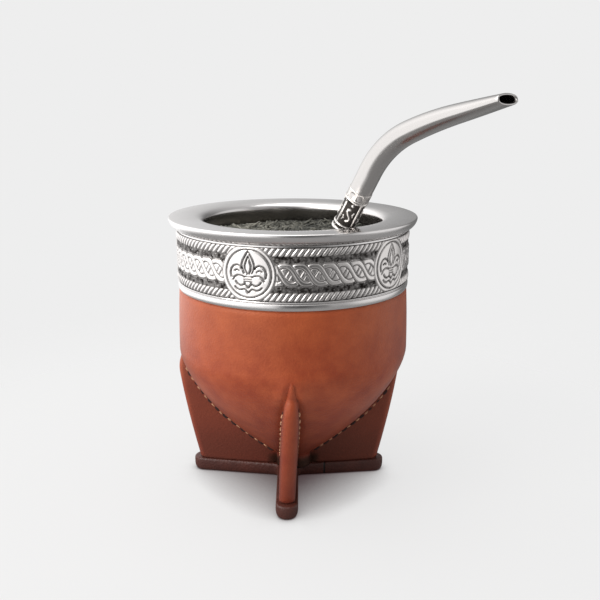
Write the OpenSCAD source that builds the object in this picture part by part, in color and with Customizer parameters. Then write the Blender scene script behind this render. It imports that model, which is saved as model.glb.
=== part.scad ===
// Leather-covered calabash mate cup with a metal collar, its filling and a bent metal straw.
// Origin: on the ground, under the axis of the gourd. +Z up, -Y is the front, +X is the right.
// The open mouth is at the top, and the straw leans on the front right of the collar's edge.

/* [Whole cup] */
// Height of the collar's lip above the ground
lip_z = 94.8; // [79:0.1:114]
// Clearance between pieces that fit into one another
fit_gap = 0.1; // [0.05:0.05:0.3]

/* [Leather body] */
// Radius of the leather at the body's widest place
body_r = 39.3; // [32.7:0.1:47.2]
// Depth of the round bottom, from the widest place to the lowest point
body_depth = 44.7; // [38:0.1:54]
// Gap between the body's lowest point and the top of the sole
body_lift = 0.5; // [0.2:0.1:2]
// Fullness of the bottom's sides: 1 is a straight cone, 2 is round
body_fullness = 1.55; // [1.3:0.05:2.2]
// Roundness of the bottom's tip: 1 is pointed, 2 is round
body_roundness = 1.05; // [1:0.05:2]
// Radius of the small flat that the bottom ends in
body_flat_r = 2; // [1:0.1:4]
// How far the body draws in between its widest place and the collar
body_draw_in = 0.6; // [0:0.1:1.5]
// How far the leather is pressed in under the collar's band
neck_step = 0.6; // [0.3:0.1:1]
// Thickness of the leather
leather_t = 2; // [1.2:0.1:2.6]
// Wall of the dried gourd under the leather
gourd_wall = 5; // [3.5:0.1:6.5]

/* [Fins] */
// Height above the ground where the fins leave the body
fin_top_z = 48; // [40:0.5:54]
// Distance from the sole's middle to the fin's edge at its top
fin_top_r = 40.8; // [34:0.1:46]
// How far the top of that edge is drawn into the body
fin_tuck = 4; // [3:0.1:6]
// Distance from the sole's middle to the fin's edge at its foot
fin_foot_r = 32.7; // [26:0.1:38]
// Half of the folded leather's thickness at the foot
fin_half_t = 2.7; // [2:0.1:3.4]
// Half of the folded leather's thickness at the top of the fin
fin_top_half_t = 1.3; // [0.8:0.1:2]
// Radius of the round foot in which the four fins meet on the sole
fin_hub_r = 5; // [4.2:0.1:7]
// How far the front fin's top leans to the right of its foot
front_fin_lean = 1.9; // [0:0.1:3]

/* [Sole] */
// Thickness of the sole
sole_t = 4.8; // [3:0.1:7]
// Distance from the middle of the sole to the end of an arm
sole_arm_r = 35; // [34:0.1:42]
// Width of an arm
sole_arm_w = 7.4; // [6.8:0.1:10]
// Sideways place of the sole's middle, as sewn by hand
sole_shift = -1.9; // [-2:0.1:2]
// How far the right arm is swept to the back, in degrees
right_arm_sweep = 7.5; // [0:0.5:15]
// How far the left arm is swept to the back, in degrees
left_arm_sweep = 9.5; // [0:0.5:15]

/* [Collar] */
// Thickness of the collar's sheet metal
metal_t = 0.9; // [0.6:0.1:1.2]
// Height of the collar from the lip down to its lower edge
collar_h = 23.5; // [19:0.1:29]
// How far the lip stands out past the band
lip_overhang = 2.6; // [1.5:0.1:4]
// Width of the lip, from its outer edge to the mouth
lip_w = 11.7; // [9.7:0.1:14.1]
// Height of the lip's outer face above the band
lip_h = 3.5; // [2.8:0.1:4.2]
// Thickness of the lip over the rim of the gourd
lip_t = 2.4; // [1.8:0.1:2.9]
// How far the lip's crown stands above the lip's height
lip_crown = 0.3; // [0:0.05:0.5]
// Rounding of the lip's outer edge
lip_edge_round = 0.5; // [0.3:0.05:0.8]
// Depth of the rounding that leads from the lip into the mouth
mouth_round = 2.2; // [1.5:0.1:2.8]
// Height of the rounded bead at the collar's lower edge
bead_h = 2.2; // [1.6:0.1:2.8]
// How far the bead is drawn in to the leather at the collar's lower edge
bead_draw_in = 0.6; // [0.3:0.1:0.8]
// Width of the groove above the bead and of the one under the lip
groove_w = 0.6; // [0.4:0.1:0.8]
// Depth of both grooves
groove_d = 0.4; // [0.2:0.05:0.5]
// Length of the sleeve that lines the mouth
sleeve_h = 18; // [14:0.5:22]

/* [Filling] */
// How far the filling stays below the lip
fill_drop = 5.8; // [4.8:0.1:12]

/* [Straw] */
// Radius of the straight tube
tube_r = 3.1; // [2.6:0.05:3.8]
// Radius of the wider tube above the ornament
neck_r = 3.6; // [3:0.05:4.3]
// Wall of the tubes
tube_wall = 0.6; // [0.4:0.05:0.8]
// Lean of the straight tube away from upright, in degrees
straw_lean = 31; // [26:1:35]
// Compass direction that the straw leans to, counted from the right, in degrees
straw_dir = -44; // [-60:1:-30]
// Compass direction of the place where the straw rests on the mouth, in degrees
straw_rest_dir = -51; // [-60:1:-40]
// Length of the straight tube below the lip
straw_below = 74; // [60:1:80]
// Length of the straight tube above the lip
straw_above = 20; // [16:0.1:25]
// Length along the first bend
bend_len = 18.5; // [15:0.5:24]
// Angle of the first bend, in degrees
bend_angle = 36; // [20:0.5:45]
// Length along the long flat bend of the mouthpiece
mouthpiece_bend_len = 17; // [14:0.5:22]
// Angle of that bend, in degrees
mouthpiece_bend_angle = 8.5; // [0:0.5:15]
// Length of the straight end of the mouthpiece
mouthpiece_end_len = 15.5; // [12:0.1:20]
// Half of the mouth's height
mouth_half_h = 1.65; // [1.4:0.05:2.2]
// Half of the mouth's width
mouth_half_w = 5; // [4:0.1:6]
// Length of the ornament, with its two rings
ornament_len = 11; // [9:0.1:13]
// How far above the lip the ornament's upper end lies, along the straw
ornament_top = 9.2; // [8:0.1:12]
// Wall of the ornament's sleeve
ornament_wall = 0.3; // [0.25:0.05:0.6]
// How far the ornament's rings stand out
ring_d = 0.2; // [0.1:0.05:0.5]
// Width of each ring
ring_w = 1.4; // [1:0.1:2]

/* [Hidden] */
$fn = 96;

// The body, from the ground up
body_bottom_z = sole_t + body_lift;
body_mid_z = body_bottom_z + body_depth;
collar_bottom_z = lip_z - collar_h;
rim_z = lip_z - lip_t - fit_gap;
wall_neck_r = body_r - body_draw_in - neck_step;

// The collar's radii, from the leather that it holds
band_in_r = wall_neck_r + fit_gap;
band_r = band_in_r + metal_t;
lip_r = band_r + lip_overhang;
mouth_r = lip_r - lip_w;
sleeve_r = mouth_r + metal_t;
sleeve_bottom_z = lip_z - sleeve_h;
fill_z = lip_z - fill_drop;

// Directions of the front, right, back and left fins and arms
arm_dirs = [-90, right_arm_sweep, 90, 180 - left_arm_sweep];
arm_leans = [front_fin_lean, 0, 0, 0];

// The straw's place at the height of the lip, and its stretches along its length
straw_rest_r = mouth_r - (ornament_r() + fit_gap) / cos(straw_lean);
straw_at_lip = [straw_rest_r * cos(straw_rest_dir), straw_rest_r * sin(straw_rest_dir), lip_z];
bend_start = straw_above;
bend_end = bend_start + bend_len;
flat_end = bend_end + mouthpiece_bend_len;
straw_end = flat_end + mouthpiece_end_len;

// Radius of the bottom at height z, for a wall that lies t inside the leather's outer face
function bottom_r(z, t) =
    let (down = min(1, max(0, (body_mid_z - z) / (body_depth - t))))
    (body_r - t) * pow(1 - pow(down, body_fullness), 1 / body_roundness);

// Share of the bottom's depth at which it has narrowed to its small flat
function flat_down(t) = pow(1 - pow(body_flat_r / (body_r - t), body_roundness), 1 / body_fullness);

// Outline of that bottom, from the middle of its flat up to the widest place
function bottom_outline(t, steps = 20) =
    let (deep = (body_depth - t) * flat_down(t))
    concat(
        [[0, body_mid_z - deep]],
        [for (i = [0 : steps]) let (z = body_mid_z - deep * cos(90 * i / steps)) [bottom_r(z, t), z]]
    );

// Outline from the widest place, where the radius is r0, to height z1, where it is r1
function upper_outline(r0, r1, z1, steps = 5) = [
    for (i = [1 : steps])
        let (up = i / steps)
        [r0 - (r0 - r1) * up * up, body_mid_z + (z1 - body_mid_z) * up]
];

// Points of a curve from a to c that is drawn towards b, without a itself
function curve(a, b, c, steps = 6) = [
    for (i = [1 : steps])
        let (u = i / steps)
        a * pow(1 - u, 2) + b * 2 * u * (1 - u) + c * u * u
];

// Quads between ring i and ring i + 1 of a loft with `sides` points in a ring
function loft_faces(rings, sides, first = 0) = [
    for (i = [0 : rings - 2], k = [0 : sides - 1])
        let (a = first + i * sides, b = a + sides, n = (k + 1) % sides)
        [a + k, b + k, b + n, a + n]
];

function turned_over(faces) = [for (f = faces) [for (i = [len(f) - 1 : -1 : 0]) f[i]]];

// ---- Leather body with its four folded fins ----

// Parts of the fin's height in which it comes out of the body, and in which it reaches its full thickness
FIN_TUCK_PART = 0.25;
FIN_FULL_PART = 0.4;
// How the fin's edge curves: 1 is straight, more is hollow below
FIN_EDGE_CURVE = 1.4;
// Part of the bottom's depth up to which the round foot of the fins reaches, inside the body
HUB_PART = 0.8;

// How far down the fin height z lies, from 0 at its top to 1 at its foot
function fin_down(z) = (fin_top_z - z) / (fin_top_z - sole_t);

// Distance from the sole's middle to the fold at height z
function fin_edge_r(z) =
    fin_top_r - (fin_top_r - fin_foot_r) * pow(fin_down(z), FIN_EDGE_CURVE)
    - fin_tuck * (1 - sin(90 * min(1, fin_down(z) / FIN_TUCK_PART)));

// The fin is a pinched fold: thin where it leaves the body, full before half way down
function fin_half(z) =
    fin_top_half_t + (fin_half_t - fin_top_half_t) * sin(90 * min(1, fin_down(z) / FIN_FULL_PART));

module fin(lean) {
    levels = 16;
    arc = 8;
    sides = arc + 3;
    points = [
        for (i = [0 : levels])
            let (
                z = sole_t + (fin_top_z - sole_t) * i / levels,
                h = fin_half(z),
                across = lean * i / levels,
                edge = fin_edge_r(z) - h
            )
            each concat(
                [[fin_hub_r / 2, across - h, z]],
                [for (k = [0 : arc]) let (a = -90 + 180 * k / arc) [edge + h * cos(a), across + h * sin(a), z]],
                [[fin_hub_r / 2, across + h, z]]
            )
    ];
    top = levels * sides;
    faces = concat(
        [[for (k = [0 : sides - 1]) k]],
        [[for (k = [sides - 1 : -1 : 0]) top + k]],
        loft_faces(levels + 1, sides)
    );
    polyhedron(points, faces, convexity = 4);
}

module leather() {
    hub_top_z = body_mid_z - (body_depth - leather_t) * HUB_PART;
    body = concat(
        bottom_outline(0),
        upper_outline(body_r, body_r - body_draw_in, collar_bottom_z - fit_gap),
        [
            [wall_neck_r, collar_bottom_z - fit_gap],
            [wall_neck_r, rim_z],
            [0, rim_z]
        ]
    );
    color([0.62, 0.31, 0.2])
    difference() {
        union() {
            rotate_extrude() polygon(body);
            translate([sole_shift, 0, sole_t]) cylinder(r = fin_hub_r, h = hub_top_z - sole_t);
            for (i = [0 : 3])
                translate([sole_shift, 0, 0]) rotate(arm_dirs[i]) fin(arm_leans[i]);
        }
        gourd_space(fit_gap);
    }
}

// The space inside the leather, open at the top
module gourd_space(over) {
    space = concat(
        bottom_outline(leather_t),
        upper_outline(body_r - leather_t, wall_neck_r - leather_t, rim_z),
        [[wall_neck_r - leather_t, rim_z + over], [0, rim_z + over]]
    );
    rotate_extrude() polygon(space);
}

// ---- Dried gourd that the leather covers ----

module gourd() {
    inner_t = leather_t + gourd_wall;
    bore_r = sleeve_r + fit_gap;
    hollow = concat(
        bottom_outline(inner_t),
        upper_outline(body_r - inner_t, bore_r, sleeve_bottom_z),
        [[bore_r, rim_z + fit_gap], [0, rim_z + fit_gap]]
    );
    color([0.72, 0.6, 0.4])
    difference() {
        gourd_space(0);
        rotate_extrude() polygon(hollow);
    }
}

// ---- Sole: a cross of four arms with round ends ----

module sole() {
    end_r = sole_arm_w / 2;
    color([0.4, 0.2, 0.15])
    translate([sole_shift, 0, 0])
    linear_extrude(sole_t)
    union() {
        for (dir = arm_dirs)
            rotate(dir) {
                translate([0, -end_r]) square([sole_arm_r - end_r, sole_arm_w]);
                translate([sole_arm_r - end_r, 0]) circle(end_r);
            }
    }
}

// ---- Metal collar: sleeve, lip, band and bead in one ring ----

// Parts of the lip's width at which the mouth's rounding ends, and at which the lip is highest
MOUTH_PART = 0.28;
CREST_PART = 0.6;

module collar() {
    bead_top = collar_bottom_z + bead_h;
    bead_mid = collar_bottom_z + bead_h / 2;
    band_top = lip_z - lip_h;
    edge_z = lip_z + lip_crown - lip_edge_round;
    mouth_edge = [mouth_r, lip_z - mouth_round];
    mouth_top = [mouth_r + MOUTH_PART * lip_w, lip_z + lip_crown / 2];
    crest = [mouth_r + CREST_PART * lip_w, lip_z + 2 * lip_crown];
    outer_top = [lip_r - lip_edge_round, lip_z + lip_crown];
    outer_side = [lip_r, edge_z];
    under_lip = [lip_r - lip_edge_round / 2, lip_z - mouth_round];
    outline = concat(
        [[mouth_r, sleeve_bottom_z], mouth_edge],
        curve(mouth_edge, [mouth_r, edge_z], mouth_top),
        curve(mouth_top, crest, outer_top),
        curve(outer_top, [lip_r, lip_z + lip_crown], outer_side, 3),
        curve(outer_side, under_lip, [band_r, band_top]),
        [
            [band_r - groove_d, band_top],
            [band_r - groove_d, band_top - groove_w],
            [band_r, band_top - groove_w],
            [band_r, bead_top + groove_w],
            [band_r - groove_d, bead_top + groove_w],
            [band_r - groove_d, bead_top]
        ],
        curve([band_r - groove_d, bead_top], [band_r, bead_top], [band_r - bead_draw_in / 3, bead_mid], 3),
        curve(
            [band_r - bead_draw_in / 3, bead_mid],
            [band_r - bead_draw_in / 2, collar_bottom_z],
            [band_r - bead_draw_in, collar_bottom_z],
            3
        ),
        [
            [band_in_r, collar_bottom_z],
            [band_in_r, lip_z - lip_t],
            [sleeve_r, lip_z - lip_t],
            [sleeve_r, sleeve_bottom_z]
        ]
    );
    color([0.78, 0.78, 0.8])
    rotate_extrude() polygon(outline);
}

// ---- Filling: fills the gourd and the sleeve up to its level, cut round the straw ----

module yerba() {
    inner_t = leather_t + gourd_wall;
    outline = concat(
        bottom_outline(inner_t),
        upper_outline(body_r - inner_t, sleeve_r + fit_gap, sleeve_bottom_z),
        [[mouth_r, sleeve_bottom_z], [mouth_r, fill_z], [0, fill_z]]
    );
    color([0.5, 0.5, 0.42])
    difference() {
        rotate_extrude() polygon(outline);
        along_straw()
            translate([0, 0, -straw_below]) rotate(90) cylinder(r = tube_r, h = straw_below + straw_above);
    }
}

// ---- Straw: straight tube, bend and flattened mouthpiece in one tube ----

// How the tube flattens towards its mouth: 1 is evenly, more is mostly near the mouth
FLATTEN_CURVE = 2.2;
// Length of the shoulder between the narrow tube and the wider one
SHOULDER_LEN = 0.4;

// Puts what is modelled upright at the origin onto the straw's straight stretch, at the lip
module along_straw() {
    translate(straw_at_lip) rotate([0, straw_lean, straw_dir]) children();
}

// Angle away from upright at distance u along the straw
function straw_angle(u) =
    straw_lean
    + bend_angle * min(1, max(0, (u - bend_start) / bend_len))
    + mouthpiece_bend_angle * min(1, max(0, (u - bend_end) / mouthpiece_bend_len));

// Step along an arc that starts at angle a0 and ends at angle a1: [outwards, up]
function arc_step(len, a0, a1) =
    abs(a1 - a0) < 0.001 ? len * [sin(a0), cos(a0)]
    : let (r = len / ((a1 - a0) * PI / 180)) r * [cos(a0) - cos(a1), sin(a1) - sin(a0)];

// Point of the straw's middle line at distance u: [outwards, up] from its place at the lip
function straw_point(u) =
    let (
        straight = min(u, bend_start),
        first = min(max(0, u - bend_start), bend_len),
        second = min(max(0, u - bend_end), mouthpiece_bend_len),
        last = max(0, u - flat_end)
    )
    arc_step(straight, straw_lean, straw_lean)
    + arc_step(first, straw_lean, straw_angle(bend_start + first))
    + arc_step(second, straw_angle(bend_end), straw_angle(bend_end + second))
    + arc_step(last, straw_angle(flat_end), straw_angle(flat_end));

// How far the round tube has turned into the flat mouthpiece at distance u, 0 to 1
function flatness(u) = min(1, max(0, (u - bend_start) / (straw_end - bend_start)));

function straw_half_h(u, narrow) = narrow ? tube_r : neck_r - (neck_r - mouth_half_h) * pow(flatness(u), FLATTEN_CURVE);

function straw_half_w(u, narrow) = narrow ? tube_r : neck_r + (mouth_half_w - neck_r) * flatness(u);

function straw_ring(station, wall, sides) =
    let (
        u = station[0],
        p = straw_point(u),
        a = straw_angle(u),
        h = straw_half_h(u, station[1]) - wall,
        w = straw_half_w(u, station[1]) - wall
    )
    [
        for (k = [0 : sides - 1])
            let (
                t = 360 * k / sides,
                out = p[0] - h * cos(t) * cos(a),
                up = p[1] + h * cos(t) * sin(a),
                side = w * sin(t)
            )
            [
                straw_at_lip[0] + out * cos(straw_dir) - side * sin(straw_dir),
                straw_at_lip[1] + out * sin(straw_dir) + side * cos(straw_dir),
                straw_at_lip[2] + up
            ]
    ];

module straw() {
    sides = 24;
    // Distance along the straw, and whether the tube there is the narrow one
    outer = concat(
        [[-straw_below, true], [ornament_top, true], [ornament_top + SHOULDER_LEN, false]],
        [for (i = [0 : 8]) [bend_start + bend_len * i / 8, false]],
        [for (i = [1 : 5]) [bend_end + mouthpiece_bend_len * i / 5, false]],
        [for (i = [1 : 4]) [flat_end + mouthpiece_end_len * i / 4, false]]
    );
    inner = concat([[tube_wall - straw_below, true]], [for (i = [1 : len(outer) - 1]) outer[i]]);
    rings = len(outer);
    first_inner = rings * sides;
    points = concat(
        [for (s = outer) each straw_ring(s, 0, sides)],
        [for (s = inner) each straw_ring(s, tube_wall, sides)]
    );
    outer_end = (rings - 1) * sides;
    inner_end = first_inner + outer_end;
    faces = concat(
        loft_faces(rings, sides),
        turned_over(loft_faces(rings, sides, first_inner)),
        [[for (k = [0 : sides - 1]) k]],
        [[for (k = [sides - 1 : -1 : 0]) first_inner + k]],
        [
            for (k = [0 : sides - 1])
                let (n = (k + 1) % sides)
                [outer_end + k, inner_end + k, inner_end + n, outer_end + n]
        ]
    );
    color([0.75, 0.74, 0.73])
    polyhedron(points, faces, convexity = 8);
}

// ---- Ornament: a cast sleeve with two rings, pushed on the straight tube ----

function ornament_r() = tube_r + ornament_wall;

module straw_ornament() {
    outline = [
        [tube_r, 0],
        [ornament_r() + ring_d, 0],
        [ornament_r() + ring_d, ring_w],
        [ornament_r(), ring_w],
        [ornament_r(), ornament_len - ring_w],
        [ornament_r() + ring_d, ornament_len - ring_w],
        [ornament_r() + ring_d, ornament_len],
        [tube_r, ornament_len]
    ];
    color([0.45, 0.45, 0.43])
    along_straw()
    translate([0, 0, ornament_top - ornament_len])
    rotate_extrude($fn = 48) polygon(outline);
}

leather();
gourd();
sole();
collar();
yerba();
straw();
straw_ornament();
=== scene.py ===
import math

import bpy
import numpy as np
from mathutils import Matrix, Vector


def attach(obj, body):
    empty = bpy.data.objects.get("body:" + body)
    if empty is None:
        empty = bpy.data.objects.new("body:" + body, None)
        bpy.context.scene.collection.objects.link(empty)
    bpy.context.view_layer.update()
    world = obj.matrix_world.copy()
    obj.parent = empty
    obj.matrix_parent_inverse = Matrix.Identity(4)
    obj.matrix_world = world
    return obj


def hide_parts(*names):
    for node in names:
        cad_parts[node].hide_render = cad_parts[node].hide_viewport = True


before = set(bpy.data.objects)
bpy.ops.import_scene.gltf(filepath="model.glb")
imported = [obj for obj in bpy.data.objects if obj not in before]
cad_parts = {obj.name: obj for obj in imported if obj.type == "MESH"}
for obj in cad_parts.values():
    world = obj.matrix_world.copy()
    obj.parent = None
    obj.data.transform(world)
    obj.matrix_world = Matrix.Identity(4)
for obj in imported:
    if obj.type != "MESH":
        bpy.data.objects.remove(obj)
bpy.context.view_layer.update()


# ---------------------------------------------------------------- camera, room and floor
# A studio table: the cup stands on a pale grey floor before a backdrop of the same grey. Softboxes
# on the left and overhead light it, with dark gaps between them that polished metal needs to
# show its shape.

def mm(*values):
    return tuple(v / 1000 for v in values)


camera = bpy.data.cameras.new("camera")
camera.lens = 48.84
camera.sensor_width = 36
camera.clip_start = 0.01
camera_object = bpy.data.objects.new("camera", camera)
camera_object.location = mm(2.4, -273, 135.2)
camera_object.rotation_euler = (math.radians(75.61), 0, 0)
bpy.context.scene.collection.objects.link(camera_object)
bpy.context.scene.camera = camera_object
bpy.context.scene.view_settings.view_transform = "Standard"


def linear(code):
    parts = [int(code[i:i + 2], 16) / 255 for i in (1, 3, 5)]
    return [p / 12.92 if p <= 0.04045 else ((p + 0.055) / 1.055) ** 2.4 for p in parts] + [1]


def node(tree, kind, inputs=None, **settings):
    made = tree.nodes.new("ShaderNode" + kind)
    for name, value in settings.items():
        setattr(made, name, value)
    for name, value in (inputs or {}).items():
        if isinstance(value, bpy.types.NodeSocket):
            tree.links.new(value, made.inputs[name])
        else:
            made.inputs[name].default_value = value
    return made


def material(name):
    made = bpy.data.materials.new(name)
    made.use_nodes = True
    return made, made.node_tree, made.node_tree.nodes["Principled BSDF"]


def area_light(name, place, towards, width, height, watts, tint):
    light = bpy.data.lights.new(name, "AREA")
    light.shape = "RECTANGLE"
    light.size = width
    light.size_y = height
    light.energy = watts
    light.color = linear(tint)[:3]
    holder = bpy.data.objects.new(name, light)
    holder.location = place
    aim = [b - a for a, b in zip(place, towards)]
    holder.rotation_euler = Vector(aim).to_track_quat("-Z", "Y").to_euler()
    bpy.context.scene.collection.objects.link(holder)
    return holder


area_light("key", (-0.46, -0.34, 0.46), (0, 0, 0.05), 0.36, 0.36, 2.45, "#FFFBF6")
area_light("top", (-0.05, 0.06, 0.78), (0, 0, 0.05), 0.6, 0.5, 1.9, "#FFFFFF")

# The room that the metal sees, by direction: a bright left wall that falls away to the right, a
# ceiling, a lit edge far right, a dark gap straight in front and a narrow window right of it.
# Camera rays see the flat backdrop instead.
world = bpy.data.worlds.new("studio")
world.use_nodes = True
bpy.context.scene.world = world
room = world.node_tree
room.nodes.clear()
direction = node(room, "TexCoord").outputs["Generated"]
axes = node(room, "SeparateXYZ", {"Vector": direction})
WINDOW_LEVEL, GAP_DEPTH = 0.25, -0.80
sides, right_edge, above, in_front, gap_left, gap_right, gap_top, window_left, window_right = [
    node(room, "MapRange", {"Value": axes.outputs[axis], "From Min": begin, "From Max": end,
                            "To Min": first, "To Max": last}, interpolation_type="SMOOTHSTEP").outputs[0]
    for axis, begin, end, first, last in (
        ("X", -0.9, 0.4, 1.72, 0.2), ("X", 0.7, 0.95, 0.0, 0.75), ("Z", 0.25, 0.80, 0.0, 0.36),
        ("Y", -0.35, -0.75, 0.0, 1.0),
        ("X", -0.34, -0.12, 0.0, 1.0), ("X", 0.42, 0.16, 0.0, 1.0), ("Z", 0.6, 0.3, 0.0, 1.0),
        ("X", 0.5, 0.62, 0.0, 1.0), ("X", 0.86, 0.74, 0.0, 1.0))
]
gap = window = in_front
for side in (gap_left, gap_right, gap_top):
    gap = node(room, "Math", {0: gap, 1: side}, operation="MULTIPLY").outputs[0]
for side in (window_left, window_right):
    window = node(room, "Math", {0: window, 1: side}, operation="MULTIPLY").outputs[0]
level = node(room, "Math", {0: sides, 1: above}, operation="ADD").outputs[0]
level = node(room, "Math", {0: level, 1: right_edge}, operation="ADD").outputs[0]
level = node(room, "Math", {0: window, 1: WINDOW_LEVEL, 2: level}, operation="MULTIPLY_ADD").outputs[0]
dimmed = node(room, "Math", {0: gap, 1: GAP_DEPTH, 2: 1.0}, operation="MULTIPLY_ADD").outputs[0]
level = node(room, "Math", {0: level, 1: dimmed}, operation="MULTIPLY").outputs[0]
seen = node(room, "Background", {"Color": linear("#EEEEEE"), "Strength": 1.0})
lit = node(room, "Background", {"Color": linear("#FFFFFF"), "Strength": level})
rays = node(room, "LightPath")
mixed = node(room, "MixShader", {0: rays.outputs["Is Camera Ray"], 1: lit.outputs[0], 2: seen.outputs[0]})
node(room, "OutputWorld", {"Surface": mixed.outputs[0]})

# The floor is a round sheet of pale paper, matt, that also glows and fades into the backdrop at its
# edge. Close under the cup its glow is turned to warm grey by ambient occlusion: a painted contact
# shadow. What the cup itself gets back from the paper is set apart, and the metal sees it darker.
bpy.ops.object.select_all(action="DESELECT")
bpy.ops.mesh.primitive_circle_add(vertices=96, radius=0.6, fill_type="NGON")
floor = bpy.context.active_object
floor.name = "floor"
paper, tree, skin = material("matte_background_paper")
skin.inputs["Roughness"].default_value = 0.9
skin.inputs["Specular IOR Level"].default_value = 0.1
ray = node(tree, "LightPath")
shine, seen_paper = ray.outputs["Is Glossy Ray"], ray.outputs["Is Camera Ray"]
# Painted contact shadow: ambient occlusion mixes the paper's glow from pale grey to warm grey
open_air = node(tree, "AmbientOcclusion", {"Distance": 0.026}, samples=16).outputs["AO"]
clear = node(tree, "MapRange", {"Value": open_air, "From Min": 0.2, "From Max": 0.85})
painted_contact_shadow = node(tree, "Mix", {0: clear.outputs[0], 6: linear("#4A3A3C"), 7: linear("#EEEEEE")},
              data_type="RGBA")
tree.links.new(painted_contact_shadow.outputs[2], skin.inputs["Emission Color"])
bounced = node(tree, "MapRange", {"Value": shine, "To Min": 0.665, "To Max": 0.22}).outputs[0]
glow = node(tree, "MapRange", {"Value": seen_paper, "To Min": bounced, "To Max": 0.84})
tree.links.new(glow.outputs[0], skin.inputs["Emission Strength"])
grey = node(tree, "Mix", {0: shine, 6: linear("#808080"), 7: linear("#606060")}, data_type="RGBA")
lit_grey = node(tree, "Mix", {0: seen_paper, 6: grey.outputs[2], 7: linear("#585858")}, data_type="RGBA")
tree.links.new(lit_grey.outputs[2], skin.inputs["Base Color"])
spot = node(tree, "TexCoord").outputs["Object"]
far = node(tree, "VectorMath", {0: spot}, operation="LENGTH")
fade = node(tree, "MapRange", {"Value": far.outputs["Value"], "From Min": 0.26, "From Max": 0.12},
            interpolation_type="SMOOTHSTEP")
tree.links.new(fade.outputs[0], skin.inputs["Alpha"])
floor.data.materials.append(paper)


# ---------------------------------------------------------------- leather cover
# A piece of vegetable-tanned cowhide, wetted and stretched over the gourd. Four folds of it are
# pinched up round the bottom and stitched along their roots, so that they stand out as fins.
# It runs up under the metal collar; the fins are painted darker, partly burnished and partly painted shade.

BODY_R, BODY_DEPTH, BODY_MID = 39.3, 44.7, 50.0
FULLNESS, ROUNDNESS, DRAW_IN = 1.55, 1.05, 0.6
COLLAR_LOW, RIM, NECK_R = 71.3, 92.3, 38.1
FIN_TOP, SOLE_TOP, SOLE_X = 48.0, 4.8, -1.9
FIN_TOP_R, FIN_TAPER, FIN_TUCK = 40.8, 8.1, 4
FIN_THIN, FIN_SWELL, HUB_R = 1.3, 1.4, 6.5
FIN_DIRS = (-90, 7.5, 90, 170.5)
FIN_LEAN = (1.9, 0, 0, 0)
MOUNDS, MOUND_Z, MOUND_SPREAD = (1.0, 0.4, 0.4, 0.4), 45, 4.5
SIDE_STEPS, FOLD_STEPS, BODY_STEPS = 10, 12, 30


def body_radius(z, inside=0.0):
    if z >= BODY_MID:
        up = min(1, (z - BODY_MID) / (COLLAR_LOW - BODY_MID))
        return BODY_R - inside - DRAW_IN * up * up
    down = min(1, (BODY_MID - z) / (BODY_DEPTH - inside))
    return (BODY_R - inside) * (1 - down ** FULLNESS) ** (1 / ROUNDNESS)


def fin_edge(z):
    """How far out the fold of a fin runs at height z; near its top it is drawn into the body."""
    down = max(0, (FIN_TOP - z) / (FIN_TOP - SOLE_TOP))
    drawn = FIN_TUCK * (1 - math.sin(math.radians(90 * min(1, 4 * down))))
    return FIN_TOP_R - FIN_TAPER * down ** 1.4 - drawn


def fin_half(z):
    """Half of a fin's thickness at height z."""
    down = max(0, (FIN_TOP - z) / (FIN_TOP - SOLE_TOP))
    return FIN_THIN + FIN_SWELL * math.sin(math.radians(90 * min(1, 2.5 * down)))


def towards(angle):
    return np.array([math.cos(angle), math.sin(angle)])


def fin_axes(z, fin):
    """The middle of a fin at height z on the sole's axis, and the directions along and across it."""
    along = towards(math.radians(FIN_DIRS[fin]))
    across = np.array([-along[1], along[0]])
    lean = FIN_LEAN[fin] * (min(max(z, SOLE_TOP), FIN_TOP) - SOLE_TOP) / (FIN_TOP - SOLE_TOP)
    return np.array([SOLE_X, 0]) + across * lean, along, across


def root(z, fin, side):
    """Where one side of a fin meets the body at height z."""
    centre, along, across = fin_axes(z, fin)
    start = centre + across * side * fin_half(z)
    reach = max(body_radius(z), HUB_R)
    b = start @ along
    return start + along * (-b + math.sqrt(max(0, b * b - start @ start + reach * reach)))


def smooth(x, low, high):
    t = np.clip((x - low) / (high - low), 0, 1)
    return t * t * (3 - 2 * t)


def fin_outline(z, fin):
    """Out along one side of a fin, round its fold and back along the other side."""
    centre, along, across = fin_axes(z, fin)
    half = fin_half(z)
    fold = fin_edge(z) - half
    sides = []
    for side in (-1, 1):
        foot = (root(z, fin, side) - centre) @ along
        stand = max(0, fold - foot)
        run = []
        for k in range(SIDE_STEPS + 1):
            out = stand * (k / SIDE_STEPS) ** 1.6
            groove = 0.55 * math.exp(-(out / 0.9) ** 2) * min(1, stand / 3)
            belly = 0.25 * math.sin(math.pi * min(1, out / max(0.01, fold - foot + 1))) * min(1, stand / 6)
            run.append(centre + along * (foot + out) + across * side * (half - groove + belly))
        sides.append(run)
    end = max(fold, (root(z, fin, -1) - centre) @ along)
    round_fold = []
    for k in range(1, FOLD_STEPS):
        a = math.radians(-90 + 180 * k / FOLD_STEPS)
        round_fold.append(centre + along * (end + half * math.cos(a)) + across * half * math.sin(a))
    return sides[0] + round_fold + sides[1][::-1]


def sweep(start, end):
    """The angles of two points about the cup's axis, the second anticlockwise from the first."""
    from_a, to_a = math.atan2(start[1], start[0]), math.atan2(end[1], end[0])
    return from_a, to_a + 2 * math.pi if to_a < from_a else to_a


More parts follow.
